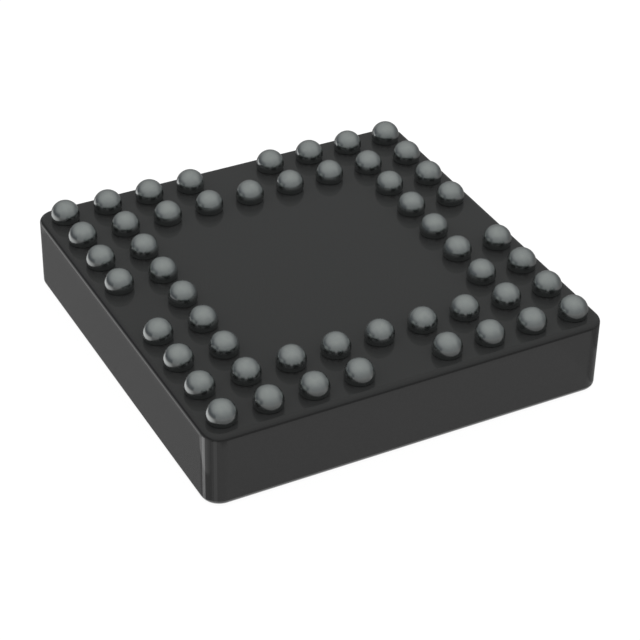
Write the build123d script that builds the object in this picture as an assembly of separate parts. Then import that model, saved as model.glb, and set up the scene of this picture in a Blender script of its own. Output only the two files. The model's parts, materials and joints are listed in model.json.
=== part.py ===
from build123d import *
from math import cos, pi
import os

# A small black integrated circuit in a ball grid package, lying on its marking face with its
# solder balls up. Lengths are in millimetres. The origin is the centre of the marking face,
# +Z points out of the ball side, and the ball rows run along X and Y.
#
# From z = 0 upwards the body holds: the mould cap with the die, its attach film and the bond
# wires inside it, then the laminate substrate (die side mask, core, ball side mask) with one
# copper conductor for each ball, and the balls on top.

# Ball grid
pitch = 0.5                  # between neighbouring ball centres
row_letters = "abcdefghj"    # a full grid has this many rows, and as many columns
ball_diameter = 0.318
ball_collapse = 0.102        # height that a round ball loses as it melts onto its land
edge_margin = 0.265          # outer ball centres to the side of the body

# Body
body_thickness = 0.85
corner_radius = 0.2          # of the four upright corners, seen from above
edge_radius = 0.06           # round of the upper and lower edges

# Substrate layers and copper
ball_mask_thickness = 0.025  # the lands are as thick, so they end level with this mask
core_thickness = 0.15
die_mask_thickness = 0.03
copper_thickness = 0.018     # pads, traces and fingers on the die side of the core
land_cover = 0.005           # of the flat of each ball, beyond the corners of its land
via_width = 0.1              # across flats, through the core
via_pad_width = 0.2          # across flats, on the die side
trace_width = 0.04
shared_lane_gap = 0.08       # between the two traces that pass the same pair of pads
pad_shoulder = 0.05          # a trace meets an inner pad this far to the side of its centre
knee_clearance = 0.03        # from the pads to the line where the traces bend

# Bond fingers, die and wires
die_width = 1.4
die_thickness = 0.18
attach_thickness = 0.02
bond_pad_pitch = 0.1
bond_pad_inset = 0.05        # bond pad row to the edge of the die
finger_setback = 0.16        # edge of the die to the near end of the fingers
finger_length = 0.12
finger_width = 0.07
finger_pitch = 0.13
window_margin = 0.03         # mask opening round the fingers
wire_width = 0.02
loop_height = 0.12           # top of the wire loops over the die
loop_shoulder = 0.06         # level stretch at the top of a loop
stitch_length = 0.06         # wire lying on its finger

# One quarter of the nets, in the order of its fingers from left to right. Each entry says in
# which ball ring the net ends, and how many pitches its ball lies from the centre line.
quarter_nets = [
    ("inner", -3), ("outer", -4), ("outer", -3), ("inner", -2), ("outer", -2),
    ("inner", -1), ("outer", -1), ("inner", 0), ("outer", 1), ("inner", 1),
    ("outer", 2), ("inner", 2), ("outer", 3),
]

# Levels, from the ball side down
half_grid = (len(row_letters) - 1) / 2
ball_face = body_thickness
core_ball_face = ball_face - ball_mask_thickness
core_die_face = core_ball_face - core_thickness
mould_face = core_die_face - die_mask_thickness
copper_face = core_die_face - copper_thickness
die_back = mould_face - attach_thickness
die_front = die_back - die_thickness
loop_top = die_front - loop_height

# Ball and land
ball_radius = ball_diameter / 2
ball_centre_height = ball_radius - ball_collapse
ball_seat_radius = (ball_radius**2 - ball_centre_height**2) ** 0.5
land_width = 2 * (ball_seat_radius - land_cover) * cos(pi / 8)   # across flats

# Places, as distances from the centre
body_width = 2 * (half_grid * pitch + edge_margin)
ring_distance = {"outer": half_grid * pitch, "inner": (half_grid - 1) * pitch}
finger_near = die_width / 2 + finger_setback
finger_far = finger_near + finger_length
bond_pad_row = die_width / 2 - bond_pad_inset
near_knee = ring_distance["inner"] - via_pad_width / 2 - knee_clearance
far_knee = ring_distance["inner"] + via_pad_width / 2 + knee_clearance


def ribbon(points, width):
    """Face of even width along a bent centre line in the XY plane, with mitred bends."""
    points = [Vector(*point) for point in points]
    steps = [(end - start).normalized() for start, end in zip(points, points[1:])]
    left, right = [], []
    for point, arriving, leaving in zip(points, [steps[0]] + steps, steps + [steps[-1]]):
        normal = Vector(-arriving.Y - leaving.Y, arriving.X + leaving.X).normalized()
        reach = width / 2 / normal.dot(Vector(-leaving.Y, leaving.X))
        left.append(point + normal * reach)
        right.append(point - normal * reach)
    return make_face(Polyline(*left, *reversed(right), close=True))


def octagon(width, low, high, x, y):
    """Eight sided prism between two levels, with flats facing the sides of the body."""
    outline = RegularPolygon(width / 2, 8, major_radius=False, rotation=22.5)
    return extrude(Pos(x, y, low) * outline, high - low)


def all_quarters(shapes):
    """The shapes of one quarter and their copies in the other three."""
    return [Rot(0, 0, 90 * quarter) * shape for quarter in range(4) for shape in shapes]


def layer(low, high):
    """Slice of the rounded outer form of the body between two levels."""
    outline = RectangleRounded(body_width, body_width, corner_radius)
    block = extrude(outline, body_thickness)
    rims = block.edges().group_by(Axis.Z)[0] + block.edges().group_by(Axis.Z)[-1]
    block = fillet(rims, edge_radius)
    slab = Pos(0, 0, low) * Box(body_width, body_width, high - low,
                                align=(Align.CENTER, Align.CENTER, Align.MIN))
    return block & slab


def finger_window():
    """Square ring round the die where the die side mask leaves the fingers bare."""
    outer = 2 * (finger_far + window_margin)
    inner = 2 * (finger_near - window_margin)
    ring = Rectangle(outer, outer) - Rectangle(inner, inner)
    return extrude(Pos(0, 0, mould_face) * ring, die_mask_thickness)


def net_place(index):
    """Ball place and finger place of one net of the front quarter."""
    ring, steps = quarter_nets[index]
    finger_x = (index - (len(quarter_nets) - 1) / 2) * finger_pitch
    return steps * pitch, -ring_distance[ring], finger_x


def trace_line(index):
    """Centre line of the copper from a finger out to the via pad of its ball."""
    ring, steps = quarter_nets[index]
    ball_x, ball_y, finger_x = net_place(index)
    side = (steps > 0) - (steps < 0)
    start = (finger_x, -finger_near)
    bend = (finger_x, -finger_far)
    if ring == "inner":
        return [start, bend, (ball_x - side * pad_shoulder, -near_knee), (ball_x, ball_y)]
    lane_x = ball_x - side * pitch / 2
    if steps < 2 - half_grid:
        shift = (shared_lane_gap + trace_width) / 2
        lane_x = (1.5 - half_grid) * pitch + (shift if steps > -half_grid else -shift)
    return [start, bend, (lane_x, -near_knee), (lane_x, -far_knee), (ball_x, ball_y)]


def conductor(index):
    """Finger, trace, via pad, via and land of one net, as one piece of copper."""
    ball_x, ball_y, finger_x = net_place(index)
    trace = extrude(Pos(0, 0, copper_face) * ribbon(trace_line(index), trace_width),
                    copper_thickness)
    finger = Pos(finger_x, -finger_near, copper_face) * Box(
        finger_width, finger_length, copper_thickness,
        align=(Align.CENTER, Align.MAX, Align.MIN))
    pad = octagon(via_pad_width, copper_face, core_die_face, ball_x, ball_y)
    via = octagon(via_width, core_die_face, core_ball_face, ball_x, ball_y)
    land = octagon(land_width, core_ball_face, ball_face, ball_x, ball_y)
    return trace + finger + pad + via + land


def bond_wire(index):
    """Wire from a pad on the die, up over its loop and down onto the finger."""
    finger_x = net_place(index)[2]
    pad = Vector((index - (len(quarter_nets) - 1) / 2) * bond_pad_pitch, -bond_pad_row)
    finger = Vector(finger_x, -(finger_near + finger_far) / 2)
    span = (finger - pad).length
    along = (finger - pad).normalized()
    resting = copper_face - wire_width / 2
    line = [
        (0, die_front), (0, loop_top), (loop_shoulder, loop_top),
        (span - stitch_length / 2, resting), (span + stitch_length / 2, resting),
    ]
    upright = Plane(origin=pad, x_dir=along, z_dir=along.cross(Vector(0, 0, 1)))
    return extrude(upright * ribbon(line, wire_width), wire_width / 2, both=True)


def solder_ball():
    """Ball with the flat by which it joins its land, standing on the XY plane."""
    above = Box(2 * ball_diameter, 2 * ball_diameter, 2 * ball_diameter,
                align=(Align.CENTER, Align.CENTER, Align.MIN))
    return Pos(0, 0, ball_centre_height) * Sphere(ball_radius) & above


def write(node, shapes):
    """One file for each named piece, or for a group of like pieces."""
    export_step(Compound(shapes) if len(shapes) > 1 else shapes[0], f"parts/{node}.step")


os.makedirs("parts", exist_ok=True)

nets = range(len(quarter_nets))
conductors = all_quarters([conductor(index) for index in nets])
wires = all_quarters([bond_wire(index) for index in nets])
die = Pos(0, 0, die_front) * Box(die_width, die_width, die_thickness,
                                 align=(Align.CENTER, Align.CENTER, Align.MIN))
attach = Pos(0, 0, die_back) * Box(die_width, die_width, attach_thickness,
                                   align=(Align.CENTER, Align.CENTER, Align.MIN))
window = finger_window()

write("ball_side_mask", [layer(core_ball_face, ball_face) - conductors])
write("substrate_core", [layer(core_die_face, core_ball_face) - conductors])
write("die_side_mask", [layer(mould_face, core_die_face) - window - conductors])
write("mould_cap", [layer(0, mould_face) + window - conductors - wires - die - attach])
write("copper_conductors", conductors)
write("bond_wires", wires)
write("die", [die])
write("die_attach", [attach])

ball = solder_ball()
for seat in all_quarters([Pos(*net_place(index)[:2], ball_face) for index in nets]):
    column = round(seat.position.X / pitch + half_grid)
    row = round(seat.position.Y / pitch + half_grid)
    write(f"solder_ball_{row_letters[row]}{column + 1}", [seat * ball])
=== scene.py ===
"""Looks of a small black ball grid integrated circuit, lying on its marking face with the balls up."""
import json
import math

import bmesh
import bpy
from mathutils import Matrix, Vector

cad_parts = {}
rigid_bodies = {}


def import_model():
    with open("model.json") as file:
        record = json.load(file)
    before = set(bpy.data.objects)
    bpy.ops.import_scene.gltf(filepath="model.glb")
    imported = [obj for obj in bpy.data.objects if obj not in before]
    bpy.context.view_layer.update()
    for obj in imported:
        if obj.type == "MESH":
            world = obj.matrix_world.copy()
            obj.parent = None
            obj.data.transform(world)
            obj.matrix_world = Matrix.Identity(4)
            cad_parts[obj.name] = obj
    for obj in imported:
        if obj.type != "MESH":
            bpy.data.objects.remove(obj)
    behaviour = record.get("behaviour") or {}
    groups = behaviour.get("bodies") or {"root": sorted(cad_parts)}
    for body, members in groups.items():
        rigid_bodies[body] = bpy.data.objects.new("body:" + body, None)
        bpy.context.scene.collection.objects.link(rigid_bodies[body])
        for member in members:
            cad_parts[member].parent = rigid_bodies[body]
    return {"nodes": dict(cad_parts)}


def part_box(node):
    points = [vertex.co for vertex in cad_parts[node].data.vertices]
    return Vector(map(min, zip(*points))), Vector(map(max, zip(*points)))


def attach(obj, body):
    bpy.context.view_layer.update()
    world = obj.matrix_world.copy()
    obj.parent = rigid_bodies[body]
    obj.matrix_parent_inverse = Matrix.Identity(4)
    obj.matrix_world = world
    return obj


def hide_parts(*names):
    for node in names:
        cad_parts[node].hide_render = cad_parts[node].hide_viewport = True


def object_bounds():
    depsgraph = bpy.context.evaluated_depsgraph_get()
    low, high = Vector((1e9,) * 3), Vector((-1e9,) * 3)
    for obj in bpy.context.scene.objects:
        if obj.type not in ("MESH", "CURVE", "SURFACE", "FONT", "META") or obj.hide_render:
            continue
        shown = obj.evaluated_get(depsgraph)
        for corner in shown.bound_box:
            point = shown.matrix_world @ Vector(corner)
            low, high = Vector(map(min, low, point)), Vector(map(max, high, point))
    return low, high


MM = 0.001

# Camera, in the photograph's frame of 640 by 640 pixels
CAMERA_PLACE = Vector((-8.691, -16.437, 13.134)) * MM
CAMERA_AZIMUTH = math.radians(-28.186)   # of the line from the part to the camera, from -Y
CAMERA_ELEVATION = math.radians(34.961)
CAMERA_ROLL = math.radians(1.232)
FRAME_SIDE = 640
FOCAL_PIXELS = 2093.0
DROP_PIXELS = 0.35                       # of the whole picture
SENSOR_WIDTH = 36.0
NEAREST = MM
FARTHEST = 10.0

# Solder balls, with a rougher ring between two heights above the land, darkened there by painted shade
BALL_SEGMENTS = 96
BALL_RINGS = 44
RING_BAND = (0.045 * MM, 0.075 * MM, 0.025 * MM)
RING_PAINTED_SHADE = 0.35                         # share of the colour taken away in the ring: painted shade at the foot of the ball
RING_ROUGHNESS = 0.04                    # and how much rougher it is

# Colours and skins. The grain varies a pair from its one end to the other, and a single value by the
# share of it that is given with it.
RESIN_SHADE = 0.0235
SHADE_VARIES = 0.08
CAP_ROUGHNESS = 0.08
MASK_ROUGHNESS = 0.03
SKIN_VARIES = 0.1
RESIN_IOR = 1.45
RESIN_GRAIN = 0.01 * MM
SOLDER = ((0.48, 0.50, 0.5), (0.52, 0.54, 0.53))
SOLDER_ROUGHNESS = (0.17, 0.21)
SOLDER_GRAIN = 0.06 * MM
COPPER = (0.85, 0.45, 0.3)
GOLD = (0.95, 0.75, 0.35)
COPPER_ROUGHNESS = 0.3
GOLD_ROUGHNESS = 0.2
METAL_VARIES = 0.2
METAL_DARK_SHARE = 0.85                  # of its colour that the metal keeps where it is dark
METAL_MARKS = 0.01 * MM
SILICON = ((0.2, 0.21, 0.24), (0.26, 0.27, 0.3))
SILICON_ROUGHNESS = (0.12, 0.2)
SILICON_METALLIC = 0.6
SILICON_LAP = 0.02 * MM
FILM = ((0.5, 0.5, 0.47), (0.62, 0.61, 0.58))
FILM_ROUGHNESS = (0.5, 0.7)
FILM_FILLER = 0.01 * MM
NOISE_RANGE = (0.3, 0.7)                 # noise hardly passes these limits
BUMP_DEPTH = 0.0003 * MM
BUMP_STRENGTH = 0.3

# Painted shade and painted highlights along the black plastic's edges: what each adds to the colour, and
# where. The places are ranges of the surface's normal, upwards or to the right (-1 on the left side, 0 in
# front and behind). A band is two limits and its softness.
PAINTED_SHADE_LINE = -0.008                       # painted shade along the foot of the round at the ball side, standing in for a dark reflection
DARK_BAND = (-0.13, 0.13, 0.05)          # about a centre that lies higher on the left side
DARK_CENTRE = (-0.97, -0.6, 0.62, 0.24)
PAINTED_HIGHLIGHT_LINE = 0.02                        # painted highlight beneath it, on the left side
LIGHT_BAND = (0.1, 0.34, 0.03)
LIGHT_FACING = (-0.93, -0.99)
PAINTED_ROUND_LIGHT = 0.003                       # painted light above it, on the other sides
LIFT_BAND = (0.45, 0.96, 0.04)
LIFT_FACING = (-0.97, -0.8)
PAINTED_CORNER_HIGHLIGHT = 0.13                       # painted highlight down the front left upright corner
CORNER_BAND = (-0.981, -0.92, 0.003)
PAINTED_FAINT_REFLECTION = 0.015                       # faint painted reflection beside it
FAINT_BAND = (-0.635, -0.5, 0.01)
UPRIGHT_BAND = (-0.5, 0.2, 0.05)
UPRIGHT_FACING = (0.05, -0.05)           # from the back to the front

# Studio, as it shows in mirror images. Azimuths are counted from +X towards +Y. The front softbox ends
# sharply on the left and softly on the right. Low down it is dark on the left and half as dark on the
# right, and a light pool on the left of the floor fades with the distance from the part.
BOX_LEFT_AZIMUTH = math.radians(203)
BOX_LEFT_BORDER = (-0.01, 0.01)
BOX_RIGHT_AZIMUTH = math.radians(318)
BOX_RIGHT_BORDER = (0.1, -0.25)
DARK_LEFT_AZIMUTH = math.radians(100)
DARK_LEFT_BORDER = (-0.15, 0.5)
DARK_RIGHT_AZIMUTH = math.radians(5)
DARK_RIGHT_BORDER = (0.75, 0.95)
DARK_RIGHT_SHARE = 0.5
POOL_AZIMUTH = math.radians(135)
POOL_FACING = (0.35, 1.0)
POOL_LIGHT = (0.2, 0.85)
POOL_BACK_AZIMUTH = math.radians(108)
POOL_BACK_BORDER = (-0.02, 0.1)
POOL_SIDE_BORDER = (-MM, 0)
POOL_REACH = 5 * MM

# Sky in mirror images, from the horizon to the zenith, and as light on everything
SKY_FOOT = (0.225, 0.235, 0.24)
SKY_TOP = (0.46, 0.48, 0.47)
SKY_BOX = [(0.0, SKY_FOOT), (0.26, (0.26, 0.27, 0.27)), (0.57, (0.33, 0.345, 0.345)),
           (0.82, (0.41, 0.425, 0.42)), (1.0, SKY_TOP)]
SKY_BACK = [(0.0, SKY_FOOT), (0.26, (0.28, 0.29, 0.29)), (0.57, (0.38, 0.395, 0.39)),
            (0.82, (0.43, 0.445, 0.44)), (1.0, SKY_TOP)]
SKY_DARK = [(0.0, (0.09, 0.1, 0.11)), (0.17, (0.1, 0.11, 0.12)), (0.26, (0.145, 0.155, 0.16)),
            (0.42, (0.26, 0.27, 0.275)), (0.57, (0.35, 0.365, 0.365)), (0.82, (0.42, 0.435, 0.43)),
            (1.0, SKY_TOP)]
SKY_PLAIN = [(0.0, 0.9), (1.0, 1.0)]

# Floor. The sides of the part mirror a strip of it close by, along shallow rays, and the rounds under
# them a narrower one, along steep rays.
FLOOR_SIDE = 1.2
FLOOR_DROP = 0.002 * MM
FLOOR_AHEAD = (MM, 6 * MM, 0.18, 0.235)  # distances in front of the part, and the light there
FLOOR_BESIDE = (0.23, 0.09)              # light elsewhere, where the sky is light and where it is dark
LEFT_STRIP = 0.42 * MM
FRONT_STRIP = 0.9 * MM
RIGHT_STRIP = 0.6 * MM
BACK_STRIP = 0.8 * MM
STRIP_BORDER = 1.1                       # a strip is gone at this share of its width
STRIP_RAYS = (0.65, 0.66)
RIM_STRIP = 0.12 * MM
RIM_BORDER = 1.2
RIM_RAYS = (0.68, 0.72)
BESIDE_BORDER = 0.03 * MM
STRIP_LIGHT = (0.57, 0.305)              # in front of the part, and beside or behind it
RIM_LIGHT = (1.6, 0.305)
CAMERA_LIGHT = 1.1                       # of the floor as the camera sees it
CAMERA_SHARE = 0.85                      # the rest of what the camera sees is paper with the shadow
PAPER = (0.8, 0.8, 0.8, 1)
WHITE = (1, 1, 1, 1)


def clear_scene():
    """Remove what Blender starts with."""
    for thing in list(bpy.data.objects):
        bpy.data.objects.remove(thing)


class Nodes:
    """Short way to add and join the nodes of one material or world."""

    def __init__(self, tree, output):
        self.tree = tree
        self.tree.nodes.clear()
        self.output = self.add(output)

    def add(self, kind, **inputs):
        node = self.tree.nodes.new(kind)
        for name, value in inputs.items():
            self.put(node, name.replace("_", " "), value)
        return node

    def put(self, node, name, value):
        socket = node.inputs[name]
        if isinstance(value, bpy.types.NodeSocket):
            self.tree.links.new(value, socket)
        else:
            socket.default_value = value

    def place(self):
        """Object coordinates, in metres of the part's own frame."""
        return self.add("ShaderNodeTexCoord").outputs["Object"]

    def math(self, operation, *values):
        node = self.add("ShaderNodeMath")
        node.operation = operation
        for index, value in enumerate(values):
            self.put(node, index, value)
        return node.outputs[0]

    def over_all(self, operation, values):
        """One operation on the first two values, on its result and the third, and so on."""
        result = values[0]
        for value in values[1:]:
            result = self.math(operation, result, value)
        return result

    def total(self, *values):
        return self.over_all("ADD", values)

    def product(self, *values):
        return self.over_all("MULTIPLY", values)

    def largest(self, *values):
        return self.over_all("MAXIMUM", values)

    def rest(self, value):
        """What the value lacks of one."""
        return self.math("SUBTRACT", 1.0, value)

    def vector(self, operation, *values):
        node = self.add("ShaderNodeVectorMath")
        node.operation = operation
        for index, value in enumerate(values):
            self.put(node, index, value)
        return node

    def dot(self, first, second):
        return self.vector("DOT_PRODUCT", first, second).outputs["Value"]

    def level(self, vector, sign=1):
        """Direction of the level part of a vector, or with -1 the opposite one."""
        flat = self.vector("MULTIPLY", vector, (sign, sign, 0)).outputs["Vector"]
        return self.vector("NORMALIZE", flat).outputs["Vector"]

    def axis(self, vector, name):
        return self.add("ShaderNodeSeparateXYZ", Vector=vector).outputs[name]

    def dim(self, colour, factor):
        """Colour times a number."""
        node = self.vector("SCALE", colour)
        self.put(node, "Scale", factor)
        return node.outputs["Vector"]

    def noise(self, size, detail=2.0):
        """Noise whose blotches are about size metres across, from 0 to 1."""
        node = self.add("ShaderNodeTexNoise", Vector=self.place(), Scale=1 / size, Detail=detail)
        return node.outputs["Fac"]

    def ramp(self, factor, stops):
        """Colour ramp of (position, colour) pairs, a colour being a grey level or three channels."""
        node = self.add("ShaderNodeValToRGB", Fac=factor)
        elements = node.color_ramp.elements
        while len(elements) < len(stops):
            elements.new(0.5)
        for element, (position, colour) in zip(elements, stops):
            element.position = position
            channels = colour if isinstance(colour, tuple) else (colour, colour, colour)
            element.color = (*channels, 1)
        return node.outputs["Color"]

    def spread(self, value, before, after, low=0.0, high=1.0):
        """Value mapped from one range to another and kept within it."""
        node = self.add("ShaderNodeMapRange", Value=value)
        limits = {"From Min": before, "From Max": after, "To Min": low, "To Max": high}
        for name, limit in limits.items():
            self.put(node, name, limit)
        return node.outputs["Result"]

    def vary(self, noise, low, high):
        """Number that follows noise from low to high."""
        return self.spread(noise, *NOISE_RANGE, low, high)

    def vary_about(self, noise, value, share):
        """Number that follows noise about a value, by a share of it to either side."""
        return self.vary(noise, value * (1 - share), value * (1 + share))

    def tint(self, noise, *colours):
        """Colour that follows noise from the first colour to the second."""
        return self.ramp(noise, list(zip(NOISE_RANGE, colours)))

    def band(self, value, low, high, soft):
        """One between two limits and zero beyond them, with soft borders."""
        return self.product(self.spread(value, low - soft, low + soft),
                            self.spread(value, high + soft, high - soft))

    def mix(self, factor, first, second):
        """Mix of two numbers."""
        return self.total(self.product(self.rest(factor), first), self.product(factor, second))

    def blend(self, factor, first, second):
        """Mix of two colours."""
        node = self.add("ShaderNodeMix", Factor=factor)
        node.data_type = "RGBA"
        colours = [socket for socket in node.inputs if socket.type == "RGBA"]
        for socket, colour in zip(colours, (first, second)):
            self.tree.links.new(colour, socket)
        return next(socket for socket in node.outputs if socket.type == "RGBA")

    def mix_shaders(self, factor, first, second):
        node = self.add("ShaderNodeMixShader", Fac=factor)
        self.put(node, 1, first.outputs[0])
        self.put(node, 2, second.outputs[0])
        return node

    def bump(self, height):
        node = self.add("ShaderNodeBump", Height=height, Distance=BUMP_DEPTH, Strength=BUMP_STRENGTH)
        return node.outputs["Normal"]

    def rays(self):
        """Whether the ray is the camera's, and whether it shows a mirror image or goes through glass."""
        path = self.add("ShaderNodeLightPath")
        glossy = self.largest(path.outputs["Is Glossy Ray"], path.outputs["Is Transmission Ray"])
        return path.outputs["Is Camera Ray"], glossy

    def finish(self, shader):
        self.tree.links.new(shader.outputs[0], self.output.inputs["Surface"])


def new_material(name):
    material = bpy.data.materials.new(name)
    material.use_nodes = True
    return material, Nodes(material.node_tree, "ShaderNodeOutputMaterial")


def painted_edge_light(n):
    """Painted shade and painted highlights added on the edges, by which way the surface faces: thin lines
    along the round at the ball side, and down the front left upright corner a painted highlight with a
    faint painted reflection beside it."""
    normal = n.add("ShaderNodeTexCoord").outputs["Normal"]
    upward = n.axis(normal, "Z")
    level = n.level(normal)
    across = n.axis(level, "X")
    from_centre = n.math("SUBTRACT", upward, n.spread(across, *DARK_CENTRE))
    dark = n.product(n.band(from_centre, *DARK_BAND), PAINTED_SHADE_LINE)
    light = n.product(n.band(upward, *LIGHT_BAND), n.spread(across, *LIGHT_FACING), PAINTED_HIGHLIGHT_LINE)
    lift = n.product(n.band(upward, *LIFT_BAND), n.spread(across, *LIFT_FACING), PAINTED_ROUND_LIGHT)
    corner = n.product(n.band(across, *CORNER_BAND), PAINTED_CORNER_HIGHLIGHT)
    faint = n.product(n.band(across, *FAINT_BAND), PAINTED_FAINT_REFLECTION)
    upright = n.product(n.total(corner, faint), n.band(upward, *UPRIGHT_BAND),
                        n.spread(n.axis(level, "Y"), *UPRIGHT_FACING))
    return n.total(dark, light, lift, upright)


def black_resin(name, roughness):
    """Black filled resin: a little lighter and darker in fine grains, with a satin skin, and painted
    highlights and painted shade along its edges.
    """
    material, n = new_material(name)
    fine = n.noise(RESIN_GRAIN, detail=3)
    shader = n.add("ShaderNodeBsdfPrincipled", IOR=RESIN_IOR)
    # the grey carries painted highlights and painted shade along the edges
    grey = n.total(n.vary_about(fine, RESIN_SHADE, SHADE_VARIES), painted_edge_light(n))
    colour = n.add("ShaderNodeCombineColor", Red=grey, Green=grey, Blue=grey)
    n.put(shader, "Base Color", colour.outputs[0])
    n.put(shader, "Roughness", n.vary_about(fine, roughness, SKIN_VARIES))
    n.put(shader, "Normal", n.bump(fine))
    n.finish(shader)
    return material


def solder(seat_z):
    """Reflowed solder: smooth grey metal with faint crystal grains, rougher just above its land and darker
    there by painted shade.
    """
    material, n = new_material("solder")
    film = n.noise(SOLDER_GRAIN, detail=3)
    ring = n.band(n.math("SUBTRACT", n.axis(n.place(), "Z"), seat_z), *RING_BAND)
    shader = n.add("ShaderNodeBsdfPrincipled", Metallic=1.0)
    # painted shade: the colour darkens in the ring just above the land
    n.put(shader, "Base Color", n.dim(n.tint(film, *SOLDER), n.spread(ring, 0, 1, 1.0, 1.0 - RING_PAINTED_SHADE)))
    n.put(shader, "Roughness", n.total(n.vary(film, *SOLDER_ROUGHNESS), n.product(ring, RING_ROUGHNESS)))
    n.put(shader, "Normal", n.bump(film))
    n.finish(shader)
    return material


def plain_metal(name, colour, roughness):
    """Plated or drawn metal with fine marks."""
    material, n = new_material(name)
    marks = n.noise(METAL_MARKS, detail=4)
    dark = tuple(channel * METAL_DARK_SHARE for channel in colour)
    shader = n.add("ShaderNodeBsdfPrincipled", Metallic=1.0)
    n.put(shader, "Base Color", n.tint(marks, dark, colour))
    n.put(shader, "Roughness", n.vary_about(marks, roughness, METAL_VARIES))
    n.finish(shader)
    return material


def silicon():
    """Polished grey silicon with a faint lap pattern."""
    material, n = new_material("silicon")
    lap = n.noise(SILICON_LAP)
    shader = n.add("ShaderNodeBsdfPrincipled", Metallic=SILICON_METALLIC)
    n.put(shader, "Base Color", n.tint(lap, *SILICON))
    n.put(shader, "Roughness", n.vary(lap, *SILICON_ROUGHNESS))
    n.finish(shader)
    return material


def attach_film():
    """Cured attach film, dull and pale."""
    material, n = new_material("attach_film")
    filler = n.noise(FILM_FILLER, detail=4)
    shader = n.add("ShaderNodeBsdfPrincipled")
    n.put(shader, "Base Color", n.tint(filler, *FILM))
    n.put(shader, "Roughness", n.vary(filler, *FILM_ROUGHNESS))
    n.finish(shader)
    return material


def ball_mesh(name, centre, seat_z, radius):
    """Ball turned from its profile: from the flat on its land up to the crown."""
    low = math.asin((seat_z - centre.z) / radius)
    turns = [2 * math.pi * step / BALL_SEGMENTS for step in range(BALL_SEGMENTS)]
    bm = bmesh.new()
    seat = bm.verts.new((centre.x, centre.y, seat_z))
    crown = bm.verts.new((centre.x, centre.y, centre.z + radius))
    hoops = []
    for ring in range(BALL_RINGS):
        rise = low + (math.pi / 2 - low) * ring / BALL_RINGS
        reach, height = radius * math.cos(rise), centre.z + radius * math.sin(rise)
        hoops.append([bm.verts.new((centre.x + reach * math.cos(turn),
                                    centre.y + reach * math.sin(turn), height)) for turn in turns])
    for step in range(BALL_SEGMENTS):
        after = (step + 1) % BALL_SEGMENTS
        bm.faces.new((seat, hoops[0][after], hoops[0][step]))
        bm.faces.new((crown, hoops[-1][step], hoops[-1][after])).smooth = True
        for lower, upper in zip(hoops, hoops[1:]):
            bm.faces.new((lower[step], lower[after], upper[after], upper[step])).smooth = True
    return mesh_object(name, bm)


def mesh_object(name, bm):
    mesh = bpy.data.meshes.new(name)
    bm.to_mesh(mesh)
    bm.free()
    thing = bpy.data.objects.new(name, mesh)
    bpy.context.scene.collection.objects.link(thing)
    return thing


def dress_balls(frame, material):
    """Each solder ball, finely turned, in place of its node."""
    for node in sorted(frame["nodes"]):
        if not node.startswith("solder_ball_"):
            continue
        low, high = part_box(node)
        radius = (high.x - low.x) / 2
        centre = Vector(((low.x + high.x) / 2, (low.y + high.y) / 2, high.z - radius))
        ball = ball_mesh(node.replace("solder", "reflowed"), centre, low.z, radius)
        ball.data.materials.append(material)
        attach(ball, "root")
        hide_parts(node)


def dress_nodes(frame, materials):
    """Give each node that stays its own finish."""
    for node, material in materials.items():
        for material_slot in frame["nodes"][node].material_slots:
            material_slot.material = material


def heading(azimuth):
    """Level direction at an azimuth."""
    return Vector((math.cos(azimuth), math.sin(azimuth), 0))


def past(azimuth):
    """Level direction a quarter turn past an azimuth: its dot product is positive beyond it."""
    return heading(azimuth + math.pi / 2)


def studio_sides(n, level):
    """Where the front softbox is, and how dark it is low down, along a level direction."""
    front = n.product(n.spread(n.dot(level, past(BOX_LEFT_AZIMUTH)), *BOX_LEFT_BORDER),
                      n.spread(n.dot(level, past(BOX_RIGHT_AZIMUTH)), *BOX_RIGHT_BORDER))
    left = n.spread(n.dot(level, past(DARK_LEFT_AZIMUTH)), *DARK_LEFT_BORDER)
    right = n.spread(n.dot(level, heading(DARK_RIGHT_AZIMUTH)), *DARK_RIGHT_BORDER, 0.0, DARK_RIGHT_SHARE)
    return front, n.largest(left, right)


def light_pool(n, level, aside, front):
    """Light pool on the left of the floor, by the direction in which it is seen."""
    strength = n.spread(n.dot(level, heading(POOL_AZIMUTH)), *POOL_FACING, *POOL_LIGHT)
    border = n.product(n.spread(n.dot(level, past(POOL_BACK_AZIMUTH)), *POOL_BACK_BORDER),
                       n.spread(aside, *POOL_SIDE_BORDER))
    far = n.math("DIVIDE", aside, POOL_REACH)
    fade = n.math("DIVIDE", 1.0, n.total(1.0, n.product(far, far)))
    return n.product(strength, n.rest(front), border, fade)


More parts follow.
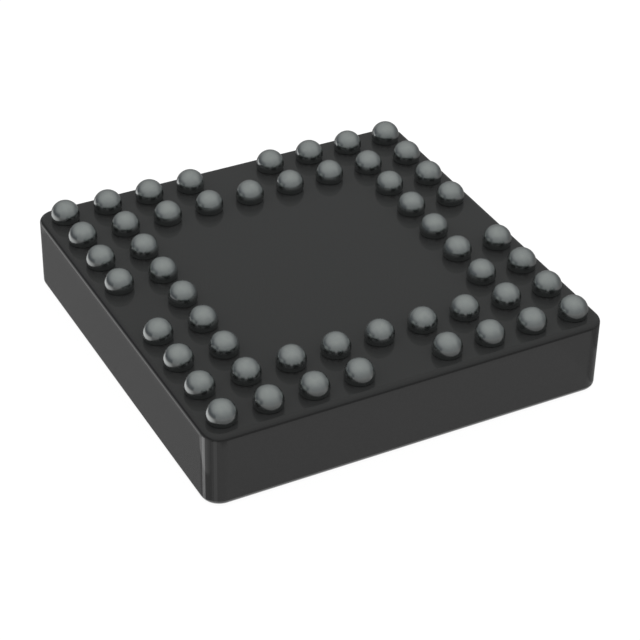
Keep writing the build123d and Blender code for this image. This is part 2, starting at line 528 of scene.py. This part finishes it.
def floor_material(part_side):
    """White floor that keeps the shadow, shows the studio's own light in mirror images, and is clear
    from below."""
    material, n = new_material("floor")
    across, along = n.axis(n.place(), "X"), n.axis(n.place(), "Y")
    aside = n.math("SUBTRACT", -part_side, across)
    beyond = n.math("SUBTRACT", across, part_side)
    ahead = n.math("SUBTRACT", -part_side, along)
    behind = n.math("SUBTRACT", along, part_side)
    surface = n.add("ShaderNodeNewGeometry")
    steep = n.axis(surface.outputs["Incoming"], "Z")
    level = n.level(surface.outputs["Incoming"], -1)
    front, dip = studio_sides(n, level)
    far = n.total(n.product(front, n.spread(ahead, *FLOOR_AHEAD)),
                  n.product(n.rest(front), n.spread(dip, 0, 1, *FLOOR_BESIDE)),
                  light_pool(n, level, aside, front))
    left_strip = n.spread(front, 0, 1, LEFT_STRIP, FRONT_STRIP)
    share = n.largest(n.math("DIVIDE", aside, left_strip), n.math("DIVIDE", ahead, FRONT_STRIP),
                      n.math("DIVIDE", beyond, RIGHT_STRIP), n.math("DIVIDE", behind, BACK_STRIP))
    strip = n.product(n.spread(share, 1.0, STRIP_BORDER, 1.0, 0.0), n.spread(steep, *STRIP_RAYS, 1.0, 0.0))
    outside = n.largest(aside, ahead, beyond, behind)
    rim = n.product(n.spread(outside, RIM_STRIP, RIM_BORDER * RIM_STRIP, 1.0, 0.0),
                    n.spread(steep, *RIM_RAYS))
    beside = n.product(n.spread(n.largest(aside, beyond, behind), 0.0, BESIDE_BORDER), n.rest(front))
    near = n.mix(strip, far, n.spread(beside, 0, 1, *STRIP_LIGHT))
    mirrored = n.mix(rim, near, n.spread(beside, 0, 1, *RIM_LIGHT))
    camera, glossy = n.rays()
    glow = n.add("ShaderNodeEmission", Color=WHITE)
    n.put(glow, "Strength", n.largest(n.product(camera, CAMERA_LIGHT), n.product(glossy, mirrored)))
    paper = n.add("ShaderNodeBsdfDiffuse", Color=PAPER)
    above = n.mix_shaders(n.largest(n.product(camera, CAMERA_SHARE), glossy), paper, glow)
    below = n.add("ShaderNodeBsdfTransparent")
    n.finish(n.mix_shaders(surface.outputs["Backfacing"], above, below))
    return material


def add_floor(part_side):
    bm = bmesh.new()
    bmesh.ops.create_grid(bm, x_segments=8, y_segments=8, size=FLOOR_SIDE / 2)
    floor = mesh_object("floor", bm)
    floor.location.z = -FLOOR_DROP
    floor.data.materials.append(floor_material(part_side))


def add_world():
    """Plain light, and in mirror images a dome that darkens downwards, with a softbox in front."""
    world = bpy.data.worlds.new("studio")
    bpy.context.scene.world = world
    world.use_nodes = True
    n = Nodes(world.node_tree, "ShaderNodeOutputWorld")
    direction = n.add("ShaderNodeTexCoord").outputs["Generated"]
    height = n.axis(direction, "Z")
    front, dip = studio_sides(n, n.level(direction))
    around = n.blend(dip, n.ramp(height, SKY_BACK), n.ramp(height, SKY_DARK))
    mirrored = n.blend(front, around, n.ramp(height, SKY_BOX))
    glossy = n.rays()[1]
    n.finish(n.add("ShaderNodeBackground", Color=n.blend(glossy, n.ramp(height, SKY_PLAIN), mirrored)))


def add_camera():
    """Camera at the photograph's place."""
    back = Vector((math.sin(CAMERA_AZIMUTH) * math.cos(CAMERA_ELEVATION),
                   -math.cos(CAMERA_AZIMUTH) * math.cos(CAMERA_ELEVATION),
                   math.sin(CAMERA_ELEVATION)))
    level = heading(CAMERA_AZIMUTH)
    upright = back.cross(level)
    right = level * math.cos(CAMERA_ROLL) + upright * math.sin(CAMERA_ROLL)
    up = back.cross(right)
    data = bpy.data.cameras.new("camera")
    data.sensor_width = SENSOR_WIDTH
    data.lens = SENSOR_WIDTH * FOCAL_PIXELS / FRAME_SIDE
    data.shift_y = DROP_PIXELS / FRAME_SIDE
    data.clip_start = NEAREST
    data.clip_end = FARTHEST
    camera = bpy.data.objects.new("camera", data)
    turned = Matrix((right, up, back)).transposed().to_4x4()
    camera.matrix_world = Matrix.Translation(CAMERA_PLACE) @ turned
    bpy.context.scene.collection.objects.link(camera)
    bpy.context.scene.camera = camera


clear_scene()
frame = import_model()
cad_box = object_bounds()
bpy.context.scene.view_settings.view_transform = "Standard"
add_camera()
add_floor(cad_box[1].x)
add_world()
resin = black_resin("mould_compound", CAP_ROUGHNESS)
mask = black_resin("solder_mask", MASK_ROUGHNESS)
dress_nodes(frame, {
    "mould_cap": resin,
    "substrate_core": resin,
    "die_side_mask": resin,
    "ball_side_mask": mask,
    "copper_conductors": plain_metal("copper", COPPER, COPPER_ROUGHNESS),
    "bond_wires": plain_metal("bond_wire", GOLD, GOLD_ROUGHNESS),
    "die": silicon(),
    "die_attach": attach_film(),
})
dress_balls(frame, solder(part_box("ball_side_mask")[1].z))
